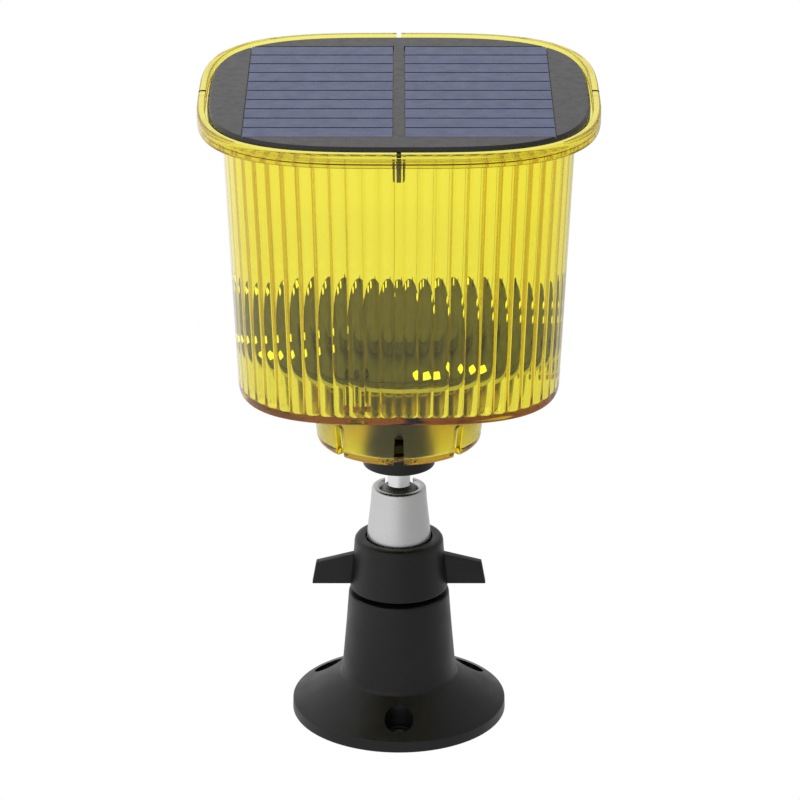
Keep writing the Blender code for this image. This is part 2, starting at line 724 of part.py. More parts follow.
def make_button():
    """Rubber-faced push button in the lamp body's floor, behind the cup."""
    flange = BODY_FLOOR + GAP
    low = BODY_BOTTOM - 1.9
    profile = [
        (0.0, flange + 1.9),
        (1.5, flange + 1.9),
        (1.5, flange + 0.6),
        (BUTTON_FLANGE, flange + 0.6),
        (BUTTON_FLANGE, flange),
        (BUTTON_RADIUS, flange),
        (BUTTON_RADIUS, low + 0.7),
        (BUTTON_RADIUS - 0.7, low),
        (0.0, low),
    ]
    mesh = turned("power_button", profile, steps=24, centre=(0.0, BUTTON_Y))
    button = add_part("power_button", mesh, "black_rubber")
    return set_origin(button, (0.0, BUTTON_Y, BODY_FLOOR))


def make_panel_board():
    """Dark board of the solar panel, with a shallow pocket for each column of cells."""
    outline = rounded_square(PANEL_WIDTH, 96) * (1.0, PANEL_DEPTH / PANEL_WIDTH)
    chamfer = 1.0 - PANEL_CHAMFER / PANEL_WIDTH
    edge = PANEL_TOP - PANEL_CHAMFER
    board = add_part("panel_board", plate("panel_board", [outline], PANEL_BOTTOM, edge + 0.05), "panel_grey", False)
    crown = plate("crown", [outline * chamfer], edge, PANEL_TOP, 1.0 / chamfer)
    combine(board, crown, "UNION")
    depth = CELL_ROWS * CELL_PITCH
    for side in (1.0, -1.0):
        middle = side * 0.5 * (CELL_WIDTH + CELL_COLUMN_GAP)
        size = (CELL_WIDTH + 0.6, depth, 1.0)
        combine(board, block("pocket", size, (middle, 0.0, PANEL_TOP - CELL_POCKET + 0.5)))
    return board


def make_cells():
    """Ten cell strips in each of two columns."""
    height = CELL_TOP - 0.5 * CELL_THICKNESS
    for side, label in ((-1.0, "left"), (1.0, "right")):
        middle = side * 0.5 * (CELL_WIDTH + CELL_COLUMN_GAP)
        for row in range(CELL_ROWS):
            name = "cell_%s_%d" % (label, row + 1)
            along = (row - 0.5 * (CELL_ROWS - 1)) * CELL_PITCH
            mesh = block(name, (CELL_WIDTH, CELL_LENGTH, CELL_THICKNESS), (middle, along, height))
            add_part(name, mesh, "cell_blue", False)


def make_panel_frame():
    """Flat frame under the board with a skirt in the lamp's mouth and a tab down the middle of each side."""
    rim = rounded_square(PANEL_WIDTH, 64) * (1.0, PANEL_DEPTH / PANEL_WIDTH)
    outline = [rim, rounded_square(FRAME_OPENING, 64)]
    frame = add_part("panel_frame", plate("panel_frame", outline, FRAME_BOTTOM, FRAME_TOP), "dark_plastic", False)
    skirt = [rounded_square(SKIRT_WIDTH, 64), rounded_square(FRAME_OPENING, 64)]
    combine(frame, plate("skirt", skirt, SKIRT_BOTTOM, FRAME_BOTTOM + 0.3), "UNION")
    top = SKIRT_BOTTOM + 0.6
    half = 0.5 * TAB_WIDTH
    tab = [(half, top), (half - 0.2, TAB_BOTTOM), (0.2 - half, TAB_BOTTOM), (-half, top)]
    for turn in range(4):
        mesh = plate("tab", [tab], FRAME_OPENING + 0.2, FRAME_OPENING + 1.3)
        mesh.transform(Matrix.Rotation(math.radians(90.0), 4, "X"))
        mesh.transform(Matrix.Rotation(math.radians(90.0 * turn), 4, "Z"))
        combine(frame, mesh, "UNION")
    return frame


def make_gasket():
    """Flat gasket in the groove under the frame."""
    outline = [rounded_square(GASKET_OUTER, 64), rounded_square(GASKET_INNER, 64)]
    mesh = plate("panel_gasket", outline, GROOVE_FLOOR + GAP, GASKET_TOP)
    return add_part("panel_gasket", mesh, "black_rubber", False)


def make_lead():
    """Thin lead from the panel down the rear corner to the circuit board."""
    route = [
        (28.0, 28.0, PANEL_BOTTOM - GAP),
        (28.6, 28.6, 180.0),
        (31.6, 31.6, 172.0),
        (32.3, 32.3, 160.0),
        (32.0, 32.0, 128.0),
        (30.6, 30.8, 121.5),
        (LEAD_HOLE[0] + 0.6, LEAD_HOLE[1] + 0.5, 117.6),
        (LEAD_HOLE[0], LEAD_HOLE[1], 115.2),
        (LEAD_HOLE[0], LEAD_HOLE[1], BOARD_TOP + GAP),
    ]
    curve = bpy.data.curves.new("lead_route", "CURVE")
    curve.dimensions = "3D"
    curve.bevel_depth = LEAD_RADIUS * MM
    curve.bevel_resolution = 2
    curve.use_fill_caps = True
    knots = np.array(route)
    run = np.concatenate([[0.0], np.cumsum(np.linalg.norm(np.diff(knots, axis=0), axis=1))])
    stops = np.linspace(0.0, run[-1], 37)
    points = [smooth_point(knots, run, stop) for stop in stops]
    spline = curve.splines.new("POLY")
    spline.points.add(len(points) - 1)
    for point, place in zip(spline.points, points):
        point.co = (*(place * MM), 1.0)
    helper = bpy.data.objects.new("lead_helper", curve)
    bpy.context.scene.collection.objects.link(helper)
    bpy.context.view_layer.update()
    return add_part("panel_lead", finished_mesh("panel_lead", helper), "lead_white")


def smooth_point(knots, run, stop):
    """A point on the smooth curve through the knots, at a distance along them."""
    last = len(knots) - 1
    index = min(int(np.searchsorted(run, stop, side="right")) - 1, last - 1)
    share = (stop - run[index]) / (run[index + 1] - run[index])
    span = run[index + 1] - run[index]

    def tangent(at):
        before = max(at - 1, 0)
        after = min(at + 1, last)
        return (knots[after] - knots[before]) / (run[after] - run[before])

    start = knots[index]
    end = knots[index + 1]
    rise = 3.0 * share**2 - 2.0 * share**3
    ease_in = share**3 - 2.0 * share**2 + share
    ease_out = share**3 - share**2
    return start + (end - start) * rise + span * (tangent(index) * ease_in + tangent(index + 1) * ease_out)


make_base()
make_pillar()
make_pillar_screw()
make_friction_ring()
make_collar()
make_sleeve()
make_ball_stud()
make_lock_nut()
make_rubber_washer()
make_boss()
make_hub()
make_lens()
make_deck()
make_tray()
make_battery()
make_board()
make_leds()
make_deck_screws()
make_driver()
make_switch()
make_button()
make_panel_board()
make_cells()
make_panel_frame()
make_gasket()
make_lead()
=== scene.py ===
"""Looks of the solar barricade light: fine meshes, materials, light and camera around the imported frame.

Lengths are in millimetres unless a name ends in _M. +Z is up and -Y is the front.
"""

import math

import bmesh
import bpy
import numpy as np
from mathutils import Matrix, Vector


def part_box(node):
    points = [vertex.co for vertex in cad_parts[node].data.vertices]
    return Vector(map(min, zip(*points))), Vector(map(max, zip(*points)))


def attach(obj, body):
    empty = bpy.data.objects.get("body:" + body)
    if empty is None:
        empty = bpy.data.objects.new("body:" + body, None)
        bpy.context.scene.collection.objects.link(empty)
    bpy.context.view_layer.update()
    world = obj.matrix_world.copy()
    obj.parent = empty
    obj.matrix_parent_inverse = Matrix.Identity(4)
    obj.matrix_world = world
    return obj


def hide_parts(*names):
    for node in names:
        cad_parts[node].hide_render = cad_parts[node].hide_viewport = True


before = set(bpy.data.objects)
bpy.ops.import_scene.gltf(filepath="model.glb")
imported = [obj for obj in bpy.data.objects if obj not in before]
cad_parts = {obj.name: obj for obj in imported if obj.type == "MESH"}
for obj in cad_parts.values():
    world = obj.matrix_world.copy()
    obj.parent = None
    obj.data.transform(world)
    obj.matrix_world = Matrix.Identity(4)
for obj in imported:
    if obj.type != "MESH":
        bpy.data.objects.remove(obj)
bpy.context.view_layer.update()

MM = 0.001
scene = bpy.context.scene


# ---------------------------------------------------------------- camera

CAMERA_PLACE_M = (0.0003, -1.0455, 0.5196)
CAMERA_PITCH = 22.112
CAMERA_LENS = 181.73
SENSOR = 36.0

camera_data = bpy.data.cameras.new("camera")
camera_data.lens = CAMERA_LENS
camera_data.sensor_width = SENSOR
camera_data.clip_start = 0.05
camera = bpy.data.objects.new("camera", camera_data)
camera.location = CAMERA_PLACE_M
camera.rotation_euler = (math.radians(90.0 - CAMERA_PITCH), 0.0, 0.0)
scene.collection.objects.link(camera)
scene.camera = camera


# ---------------------------------------------------------------- sizes from the frame

def low(node):
    """Lowest corner of a CAD node, in millimetres."""
    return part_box(node)[0] / MM


def high(node):
    """Highest corner of a CAD node, in millimetres."""
    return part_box(node)[1] / MM


SQUARENESS = 3.3
FLUTES_PER_SIDE = 17
MIDDLE_FLUTE = 0.47
FLUTE_STEPS = 8
LENS_COUNT = 4 * (FLUTES_PER_SIDE + 1) * FLUTE_STEPS
FLUTE_DEPTH = 0.8
BODY_FOOT_WIDTH = 44.4
BODY_HEAD_WIDTH = 47.9
WALL_AT_RIDGE = 2.8
FLOOR_THICKNESS = 1.5
RIM_INNER = 52.3
BODY_TOP = 181.4
RECESS_FLOOR = 182.9
GROOVE = (46.7, 49.8, 182.1)
POD_DROP = 2.9
BUTTON_Y = 34.0
LEAD_HOLE = (26.0, 26.0)
BALL_RADIUS = 6.5
BALL_CENTRE = 63.9
SOCKET_RADIUS = 6.8
POST_RADIUS = 3.175
THREAD_PITCH = 1.27
THREAD_DEPTH = 0.55


# ---------------------------------------------------------------- mesh tools

def fillet(corners, closed=False, steps=4):
    """A profile of (radius, height, rounding) corners as (radius, height) points with rounded corners."""
    count = len(corners)
    points = []
    for index, (across, up, size) in enumerate(corners):
        here = np.array((across, up))
        end = not closed and index in (0, count - 1)
        if size == 0 or end:
            points.append(here)
            continue
        before = np.array(corners[index - 1][:2]) - here
        after = np.array(corners[(index + 1) % count][:2]) - here
        before_length = np.linalg.norm(before)
        after_length = np.linalg.norm(after)
        cosine = np.dot(before, after) / (before_length * after_length)
        half = 0.5 * math.acos(max(-1.0, min(1.0, cosine)))
        reach = min(size / max(math.tan(half), 0.05), 0.48 * before_length, 0.48 * after_length)
        start = here + before / before_length * reach
        stop = here + after / after_length * reach
        for share in np.linspace(0.0, 1.0, steps + 1):
            points.append((1 - share) ** 2 * start + 2 * share * (1 - share) * here + share**2 * stop)
    return with_support(points)


def with_support(points):
    """The same profile with a point near each end of its long runs, which keeps their shading straight."""
    filled = [points[0]]
    for point in points[1:]:
        run = point - filled[-1]
        length = np.linalg.norm(run)
        if length > 2.0:
            start = filled[-1]
            filled += [start + run * (0.3 / length), point - run * (0.3 / length)]
        filled.append(point)
    return filled


def skin(name, rings, closed):
    """A mesh through rings of equal point counts: ends capped, or joined to each other if closed."""
    rings = np.array(rings)
    levels, count, _ = rings.shape
    mesh = bpy.data.meshes.new(name)
    faces = []
    following = [(k + 1) % count for k in range(count)]
    for level in range(levels if closed else levels - 1):
        above = level * count
        below = ((level + 1) % levels) * count
        faces += [(above + k, above + following[k], below + following[k], below + k) for k in range(count)]
    if not closed:
        faces.append(tuple(range(count - 1, -1, -1)))
        faces.append(tuple((levels - 1) * count + k for k in range(count)))
    mesh.from_pydata((rings.reshape(-1, 3) * MM).tolist(), [], faces)
    return tidy(mesh)


def tidy(mesh):
    """Weld, point the faces outwards and shade smooth with sharp edges kept."""
    work = bmesh.new()
    work.from_mesh(mesh)
    bmesh.ops.remove_doubles(work, verts=work.verts, dist=0.000001)
    bmesh.ops.recalc_face_normals(work, faces=work.faces)
    work.to_mesh(mesh)
    work.free()
    mesh.shade_smooth()
    mesh.set_sharp_from_angle(angle=math.radians(32))
    return mesh


def turned(name, corners, steps=128, closed=False, centre=(0.0, 0.0), ribs=0, rib_depth=0.0):
    """A body turned about an upright axis from (radius, height, rounding) corners, ribbed if asked."""
    angle = np.linspace(0.0, 2.0 * math.pi, steps + 1)[:-1]
    rings = []
    for radius, height in fillet(corners, closed):
        reach = radius - rib_depth * (0.5 + 0.5 * np.cos(ribs * angle)) * (radius > 0.8 * corners[0][0])
        level = np.full(steps, height)
        rings.append(np.column_stack([centre[0] + reach * np.cos(angle), centre[1] + reach * np.sin(angle), level]))
    return skin(name, rings, closed)


def even_stops(count):
    """Evenly spaced shares of an outline's length."""
    return np.linspace(0.0, 1.0, count + 1)[:-1]


def flute_stops():
    """Shares of the length at the flutes' points: a narrow flute mid-side, then equal ones to the next."""
    full = 1.0 / (FLUTES_PER_SIDE + MIDDLE_FLUTE)
    widths = [0.5 * MIDDLE_FLUTE * full] + [full] * FLUTES_PER_SIDE + [0.5 * MIDDLE_FLUTE * full]
    ridges = np.cumsum(widths)[:-1]
    edges = np.concatenate([0.25 * (ridges + side) for side in range(4)])
    following = np.append(edges[1:], edges[0] + 1.0)
    shares = np.arange(FLUTE_STEPS) / FLUTE_STEPS
    return (edges[:, None] + (following - edges)[:, None] * shares).ravel() % 1.0


def unit_square(stops):
    """(points, outward normals) at shares of the length of the rounded square of half-width 1."""
    angle = np.linspace(-0.5 * math.pi, 1.5 * math.pi, 5761)
    cosine = np.cos(angle)
    sine = np.sin(angle)
    reach = (abs(cosine) ** SQUARENESS + abs(sine) ** SQUARENESS) ** (-1.0 / SQUARENESS)
    run = np.concatenate([[0.0], np.cumsum(np.hypot(np.diff(reach * cosine), np.diff(reach * sine)))])
    places = stops * run[-1]
    points = np.column_stack([np.interp(places, run, reach * cosine), np.interp(places, run, reach * sine)])
    normals = np.sign(points) * abs(points) ** (SQUARENESS - 1.0)
    return points, normals / np.linalg.norm(normals, axis=1)[:, None]


def square_ring(half_width, height, stops, bulge=None, depth_share=1.0):
    """One ring of the rounded square, pushed outwards by bulge and scaled along Y."""
    points, normals = unit_square(stops)
    ring = points * half_width
    if bulge is not None:
        ring = ring + normals * bulge[:, None]
    return np.column_stack([ring * (1.0, depth_share), np.full(len(stops), height)])


def square_body(name, corners, count, depth_share):
    """A body of rounded-square rings from (half-width, height, rounding) corners."""
    stops = even_stops(count)
    return skin(name, [square_ring(w, z, stops, None, depth_share) for w, z in fillet(corners)], False)


def box(size, centre, turn=0.0, bevel=0.0):
    """A box with rounded edges as a mesh, turned about its own Z."""
    work = bmesh.new()
    bmesh.ops.create_cube(work, size=1.0)
    bmesh.ops.scale(work, vec=Vector(size) * MM, verts=work.verts)
    if bevel:
        bmesh.ops.bevel(work, geom=work.edges, offset=bevel * MM, segments=3, profile=0.5, affect="EDGES")
    bmesh.ops.rotate(work, matrix=Matrix.Rotation(math.radians(turn), 3, "Z"), verts=work.verts)
    bmesh.ops.translate(work, vec=Vector(centre) * MM, verts=work.verts)
    mesh = bpy.data.meshes.new("box")
    work.to_mesh(mesh)
    work.free()
    return mesh


def rod(radius, bottom, top, centre=(0.0, 0.0), steps=32):
    """An upright cylinder as a mesh."""
    return turned("rod", [(radius, top, 0), (radius, bottom, 0)], steps, centre=centre)


def slab(outline, thickness, bevel=0.0):
    """A prism of an (x, z) outline, thick along Y about Y = 0, with rounded edges."""
    work = bmesh.new()
    front = [work.verts.new(Vector((x, -0.5 * thickness, z)) * MM) for x, z in outline]
    back = [work.verts.new(Vector((x, 0.5 * thickness, z)) * MM) for x, z in outline]
    count = len(outline)
    work.faces.new(front)
    work.faces.new(back[::-1])
    for k in range(count):
        work.faces.new((front[k], back[k], back[(k + 1) % count], front[(k + 1) % count]))
    bmesh.ops.recalc_face_normals(work, faces=work.faces)
    if bevel:
        bmesh.ops.bevel(work, geom=work.edges, offset=bevel * MM, segments=3, profile=0.5, affect="EDGES")
    mesh = bpy.data.meshes.new("slab")
    work.to_mesh(mesh)
    work.free()
    return mesh


def combine(mesh, tools, operation="DIFFERENCE"):
    """A mesh after an exact Boolean with each tool mesh in turn."""
    target = bpy.data.objects.new("boolean_target", mesh)
    scene.collection.objects.link(target)
    helpers = []
    for tool in tools:
        helper = bpy.data.objects.new("boolean_tool", tool)
        scene.collection.objects.link(helper)
        helpers.append(helper)
        modifier = target.modifiers.new("boolean", "BOOLEAN")
        modifier.operation = operation
        modifier.solver = "EXACT"
        modifier.object = helper
    bpy.context.view_layer.update()
    graph = bpy.context.evaluated_depsgraph_get()
    result = bpy.data.meshes.new_from_object(target.evaluated_get(graph))
    result.name = mesh.name
    for helper in [target] + helpers:
        bpy.data.objects.remove(helper)
    return tidy(result)


def add_piece(mesh, body, nodes, material):
    """Show a mesh as a piece that rides on a body and stands for CAD nodes."""
    mesh.materials.clear()
    mesh.materials.append(material)
    piece = bpy.data.objects.new(mesh.name, mesh)
    scene.collection.objects.link(piece)
    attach(piece, body)
    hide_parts(*nodes)
    return piece


def second_material(piece, material, chosen):
    """Give the faces that chosen(centre, normal) picks, in millimetres, another material."""
    piece.data.materials.append(material)
    for face in piece.data.polygons:
        if chosen(face.center / MM, face.normal):
            face.material_index = 1


# ---------------------------------------------------------------- materials

def new_material(name, colour, roughness, metallic=0.0):
    """A Principled material: (material, node tree, shader)."""
    material = bpy.data.materials.new(name)
    material.use_nodes = True
    tree = material.node_tree
    shader = tree.nodes["Principled BSDF"]
    shader.inputs["Base Color"].default_value = (*colour, 1.0)
    shader.inputs["Roughness"].default_value = roughness
    shader.inputs["Metallic"].default_value = metallic
    return material, tree, shader


def noise(tree, scale, detail=4.0, stretch=(1.0, 1.0, 1.0)):
    """Noise in the piece's own space; scale is in cycles per metre."""
    place = tree.nodes.new("ShaderNodeTexCoord")
    mapping = tree.nodes.new("ShaderNodeMapping")
    mapping.inputs["Scale"].default_value = stretch
    texture = tree.nodes.new("ShaderNodeTexNoise")
    texture.inputs["Scale"].default_value = scale
    texture.inputs["Detail"].default_value = detail
    tree.links.new(place.outputs["Object"], mapping.inputs["Vector"])
    tree.links.new(mapping.outputs["Vector"], texture.inputs["Vector"])
    return texture.outputs["Fac"]


def vary_colour(tree, shader, source, dark, light, start=0.35, end=0.65):
    """Base colour runs from dark to light with a source."""
    ramp = tree.nodes.new("ShaderNodeValToRGB")
    ramp.color_ramp.elements[0].position = start
    ramp.color_ramp.elements[0].color = (*dark, 1.0)
    ramp.color_ramp.elements[1].position = end
    ramp.color_ramp.elements[1].color = (*light, 1.0)
    tree.links.new(source, ramp.inputs["Fac"])
    tree.links.new(ramp.outputs["Color"], shader.inputs["Base Color"])
    return ramp


def vary_roughness(tree, shader, source, least, most):
    """Roughness runs between two values with a source."""
    spread = tree.nodes.new("ShaderNodeMapRange")
    spread.inputs["From Min"].default_value = 0.3
    spread.inputs["From Max"].default_value = 0.7
    spread.inputs["To Min"].default_value = least
    spread.inputs["To Max"].default_value = most
    tree.links.new(source, spread.inputs["Value"])
    tree.links.new(spread.outputs["Result"], shader.inputs["Roughness"])


def add_bump(tree, shader, source, depth, strength=1.0):
    """Relief of a depth in millimetres from a source."""
    bump = tree.nodes.new("ShaderNodeBump")
    bump.inputs["Distance"].default_value = depth * MM
    bump.inputs["Strength"].default_value = strength
    tree.links.new(source, bump.inputs["Height"])
    tree.links.new(bump.outputs["Normal"], shader.inputs["Normal"])


def moulded(name, dark, light, roughness, grain=2600.0, relief=0.02, specular=0.5):
    """Moulded plastic: faint mottling, uneven gloss and a fine spark-eroded grain."""
    material, tree, shader = new_material(name, dark, roughness)
    shader.inputs["Specular IOR Level"].default_value = specular
    vary_colour(tree, shader, noise(tree, 60.0, 6.0), dark, light)
    vary_roughness(tree, shader, noise(tree, 140.0, 5.0), roughness - 0.06, roughness + 0.08)
    add_bump(tree, shader, noise(tree, grain, 2.0), relief)
    return material


def metal(name, dark, light, roughness, stretch, relief=0.004):
    """Metal with tool marks: noise stretched round the turned shape."""
    material, tree, shader = new_material(name, light, roughness, 1.0)
    vary_colour(tree, shader, noise(tree, 160.0, 6.0), dark, light)
    marks = noise(tree, 900.0, 3.0, stretch)
    vary_roughness(tree, shader, marks, roughness - 0.05, roughness + 0.07)
    add_bump(tree, shader, marks, relief)
    return material


def tinted_clear(name, least, most):
    """Yellow clear plastic that deepens with thickness, faintly wavy with uneven polish."""
    material, tree, shader = new_material(name, (0.985, 0.96, 0.42), least)
    shader.inputs["Transmission Weight"].default_value = 1.0
    shader.inputs["IOR"].default_value = 1.49
    vary_roughness(tree, shader, noise(tree, 90.0, 5.0), least, most)
    add_bump(tree, shader, noise(tree, 120.0, 2.0), 0.012)
    absorb = tree.nodes.new("ShaderNodeVolumeAbsorption")
    absorb.inputs["Color"].default_value = (0.945, 0.902, 0.087, 1.0)
    absorb.inputs["Density"].default_value = 300.0
    tree.links.new(absorb.outputs["Volume"], tree.nodes["Material Output"].inputs["Volume"])
    return material


def lit_face():
    """Warm white LED face, bright in its middle."""
    material, tree, shader = new_material("led_lit", (0.9, 0.85, 0.2), 0.3)
    shader.inputs["Emission Color"].default_value = (1.0, 0.95, 0.12, 1.0)
    shader.inputs["Emission Strength"].default_value = 1.1
    speck = noise(tree, 900.0, 3.0)
    vary_colour(tree, shader, speck, (0.84, 0.78, 0.12), (0.93, 0.88, 0.25))
    vary_roughness(tree, shader, speck, 0.25, 0.4)
    return material


def cell_finish():
    """Blue-grey silicon: crystal patches, fine printed fingers and a glossy resin coat."""
    material, tree, shader = new_material("silicon_cell", (0.05, 0.07, 0.2), 0.3)
    place = tree.nodes.new("ShaderNodeTexCoord")
    crystals = tree.nodes.new("ShaderNodeTexVoronoi")
    crystals.inputs["Scale"].default_value = 260.0
    tree.links.new(place.outputs["Object"], crystals.inputs["Vector"])
    ramp = vary_colour(tree, shader, crystals.outputs["Color"], (0.046, 0.066, 0.19), (0.062, 0.086, 0.235), 0.1, 0.9)
    fingers = tree.nodes.new("ShaderNodeTexWave")
    fingers.wave_type = "BANDS"
    fingers.bands_direction = "Y"
    fingers.inputs["Scale"].default_value = 118.0
    fingers.inputs["Distortion"].default_value = 0.0
    tree.links.new(place.outputs["Object"], fingers.inputs["Vector"])
    edge = tree.nodes.new("ShaderNodeMapRange")
    edge.inputs["From Min"].default_value = 0.75
    edge.inputs["From Max"].default_value = 1.0
    edge.inputs["To Max"].default_value = 0.35
    tree.links.new(fingers.outputs["Fac"], edge.inputs["Value"])
    blend = tree.nodes.new("ShaderNodeMix")
    blend.data_type = "RGBA"
    blend.inputs["B"].default_value = (0.09, 0.12, 0.17, 1.0)
    tree.links.new(edge.outputs["Result"], blend.inputs["Factor"])
    tree.links.new(ramp.outputs["Color"], blend.inputs["A"])
    tree.links.new(blend.outputs["Result"], shader.inputs["Base Color"])
    vary_roughness(tree, shader, noise(tree, 300.0, 4.0), 0.22, 0.36)
    add_bump(tree, shader, noise(tree, 700.0, 3.0), 0.006)
    return material


def board_finish(name, dark, light, roughness):
    """Laminated board: woven glass grain under a satin resin."""
    material, tree, shader = new_material(name, dark, roughness)
    vary_colour(tree, shader, noise(tree, 45.0, 6.0), dark, light)
    weave = tree.nodes.new("ShaderNodeTexWave")
    weave.inputs["Scale"].default_value = 320.0
    weave.inputs["Distortion"].default_value = 1.5
    place = tree.nodes.new("ShaderNodeTexCoord")
    tree.links.new(place.outputs["Object"], weave.inputs["Vector"])
    vary_roughness(tree, shader, noise(tree, 400.0, 3.0), roughness - 0.05, roughness + 0.08)
    add_bump(tree, shader, weave.outputs["Fac"], 0.004)
    return material


black_plastic = moulded("black_moulded", (0.003, 0.003, 0.003), (0.005, 0.005, 0.005), 0.36, specular=0.35)
dark_plastic = moulded("dark_moulded", (0.075, 0.075, 0.07), (0.095, 0.095, 0.09), 0.42)
black_rubber = moulded("black_rubber_skin", (0.006, 0.006, 0.006), (0.012, 0.012, 0.012), 0.6, 1500.0, 0.03, 0.3)
slip_plastic = moulded("slip_plastic", (0.72, 0.72, 0.7), (0.82, 0.82, 0.79), 0.4)
lead_jacket = moulded("lead_skin", (0.7, 0.7, 0.67), (0.82, 0.82, 0.8), 0.45)
cell_wrap = moulded("cell_wrap", (0.03, 0.1, 0.28), (0.05, 0.14, 0.34), 0.3, 900.0, 0.01)
silver = metal("satin_silver", (0.6, 0.6, 0.6), (0.62, 0.62, 0.62), 0.26, (1.0, 1.0, 14.0), 0.0004)
steel = metal("bright_steel", (0.72, 0.72, 0.73), (0.84, 0.84, 0.85), 0.14, (1.0, 1.0, 10.0), 0.002)
yellow = tinted_clear("yellow_clear", 0.0, 0.035)
frosted = tinted_clear("yellow_frosted", 0.3, 0.38)
# Ball metal darkened to a dull grey: painted shade standing in for the shadowed seat round the ball.
ball_painted_shade = metal("ball_painted_shade", (0.16, 0.16, 0.16), (0.2, 0.2, 0.2), 0.4, (1.0, 1.0, 6.0))
led_lit = lit_face()
silicon = cell_finish()
panel_grey = board_finish("panel_board_skin", (0.009, 0.009, 0.009), (0.011, 0.011, 0.011), 0.26)
solder_white = board_finish("solder_mask", (0.78, 0.78, 0.7), (0.86, 0.86, 0.8), 0.35)
black_screw = moulded("blackened_screw", (0.006, 0.006, 0.006), (0.012, 0.012, 0.012), 0.35)


# ---------------------------------------------------------------- bracket

def make_base():
    """Flange, coned foot, tapered column and threaded spigot, with three counterbored holes."""
    flange = high("mounting_base").x
    spigot_top = high("mounting_base").z
    corners = [
        (10.6, spigot_top, 0.5),
        (10.6, 37.0, 0.2),
        (14.2, 37.0, 0.9),
        (14.95, 27.0, 40.0),
        (15.9, 16.0, 40.0),
        (16.4, 11.2, 1.5),
        (flange - 0.1, 3.25, 0.45),
        (flange, 0.0, 0.35),
        (11.0, 0.0, 0.4),
        (10.6, 31.0, 0.5),
        (2.7, 31.0, 0.2),
        (2.7, 34.0, 0.2),
        (6.7, 34.0, 0.3),
        (6.7, spigot_top, 0.3),
    ]
    mesh = turned("base_flange_and_column", corners, 192, True)
    tools = []
    for degrees in (-90.0, 30.0, 150.0):
        angle = math.radians(degrees)
        centre = (23.5 * math.cos(angle), 23.5 * math.sin(angle))
        hole = [(4.1, 14.0, 0), (4.1, 2.6, 0.3), (2.55, 2.6, 0), (2.25, 2.2, 0), (2.25, -1.0, 0)]
        tools.append(turned("hole", hole, 64, centre=centre))
    mesh = combine(mesh, tools)
    return add_piece(mesh, "base", ["mounting_base"], black_plastic)


def make_collar():
    """Clamping collar with a rolled top edge and two wings with softened edges."""
    bottom = low("wing_collar").z
    top = high("wing_collar").z
    corners = [
        (9.5, top, 0.25),
        (12.5, top, 2.0),
        (12.75, 49.5, 6.0),
        (13.9, bottom, 0.45),
        (11.8, bottom, 0.3),
        (11.8, 51.9, 0.2),
        (9.5, 51.9, 0.2),
    ]
    mesh = turned("clamp_collar_with_wings", corners, 192, True)
    reach = high("wing_collar").x
    wing = [(12.3, 39.0), (reach - 0.02, 39.0), (reach - 1.2, 45.5), (12.3, 48.3)]
    tools = []
    for side in (1.0, -1.0):
        outline = [(side * x, z) for x, z in wing]
        tools.append(slab(outline, 2.6, 0.22))
    mesh = combine(mesh, tools, "UNION")
    return add_piece(mesh, "collar", ["wing_collar"], black_plastic)


def make_sleeve():
    """Satin sleeve with a rolled lip, a spherical seat and a drop notch."""
    bottom = low("socket_sleeve").z
    top = high("socket_sleeve").z
    seat = [
        (SOCKET_RADIUS * math.cos(math.radians(angle)), BALL_CENTRE + SOCKET_RADIUS * math.sin(math.radians(angle)), 0)
        for angle in np.linspace(0.0, 37.4, 9)
    ]
    corners = [
        (5.95, top, 0.3),
        (7.62, top, 1.7),
        (7.95, 64.3, 20.0),
        (9.08, 53.8, 4.0),
        (9.12, 50.8, 0.3),
        (11.3, 50.8, 0.3),
        (11.3, bottom, 0.3),
        (SOCKET_RADIUS, bottom, 0.3),
    ]
    mesh = turned("silver_sleeve", corners + seat, 192, True)
    half = 3.9
    floor = 60.4 + half
    arch = [(half * math.cos(a), floor + half * math.sin(a)) for a in np.linspace(-math.pi, 0.0, 25)]
    notch = slab(arch + [(half, top + 2.0), (-half, top + 2.0)], 10.0)
    notch.transform(Matrix.Translation((0.0, 7.0 * MM, 0.0)))
    mesh = combine(mesh, [notch])
    return add_piece(mesh, "sleeve", ["socket_sleeve"], silver)


def make_stud():
    """Ball and polished post, threaded where the nut and insert grip it."""
    top = high("ball_stud").z
    steps = 96
    angle = np.linspace(0.0, 2.0 * math.pi, steps + 1)[:-1]
    rings = []
    for tilt in np.linspace(-86.0, 56.0, 44):
        turn = math.radians(tilt)
        rings.append((BALL_RADIUS * math.cos(turn), BALL_CENTRE + BALL_RADIUS * math.sin(turn), 0.0))
    rings += [(3.3, 69.5, 0.0), (POST_RADIUS, 69.9, 0.0), (POST_RADIUS, 76.0, 0.0)]
    thread_start = 76.6
    for height in np.arange(thread_start, top - 0.8, THREAD_PITCH / 8.0):
        rings.append((POST_RADIUS, height, THREAD_DEPTH))
    rings += [(2.7, top - 0.3, 0.0), (2.4, top, 0.0)]
    loops = []
    for radius, height, depth in rings:
        phase = (height / THREAD_PITCH - angle / (2.0 * math.pi)) % 1.0
        cut = depth * abs(2.0 * phase - 1.0)
        reach = radius - cut
        loops.append(np.column_stack([reach * np.cos(angle), reach * np.sin(angle), np.full(steps, height)]))
    mesh = skin("ball_and_post", loops, False)
    stud = add_piece(mesh, "stud", ["ball_stud"], steel)
    # The ball below the post gets the darkened metal: painted shade for its shadowed seat in the sleeve.
    second_material(stud, ball_painted_shade, lambda centre, normal: centre.z < 69.6)
    return stud


def make_nut():
    """Black locking disc."""
    bottom = low("lock_nut").z
    top = high("lock_nut").z
    radius = high("lock_nut").x
    corners = [(radius, top, 0.4), (radius, bottom, 0.3), (4.2, bottom, 0.2), (3.475, bottom + 0.7, 0.1),
               (3.475, top, 0.2)]
    mesh = turned("locking_disc", corners, 192, True)
    return add_piece(mesh, "nut", ["lock_nut"], black_plastic)


